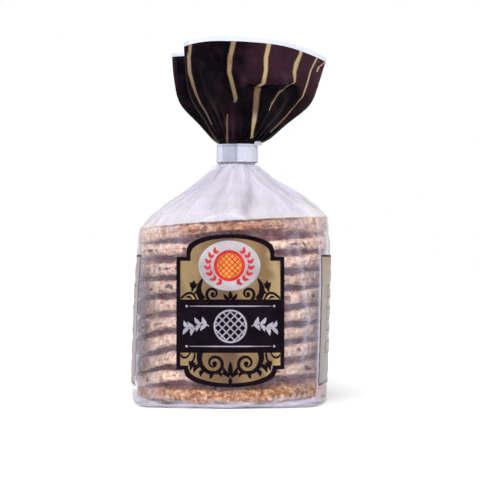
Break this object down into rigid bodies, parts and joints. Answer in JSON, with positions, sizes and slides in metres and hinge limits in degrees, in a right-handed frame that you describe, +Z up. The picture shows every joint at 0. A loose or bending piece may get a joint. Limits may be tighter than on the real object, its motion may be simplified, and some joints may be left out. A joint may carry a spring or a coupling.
{
  "type": "clear bag of stacked stroopwafels",
  "caption": "Clear film bag holding a stack of round syrup waffles, tied at the neck with a folded band, its dark striped top fanned open.",
  "frame": {"origin": "middle of the bag's flat base, under the stack's axis", "axes": "+Z up, -Y towards the label on the front, +X to the right as seen from the front"},
  "size_m": [0.1043, 0.101, 0.186],
  "materials": {
    "film": "thin clear film with a slight haze, creased and glossy",
    "band": "satin white tape, folded round the neck",
    "crown": "film printed dark brown with pale gold stripes",
    "print": "gold and dark brown print on the film",
    "wafer": "baked golden wafer with a crumbly cut edge",
    "syrup": "dark caramel syrup between the wafers"
  },
  "bodies": {
    "root": {"bag": "film", "band": "band"}
  },
  "joints": []
}
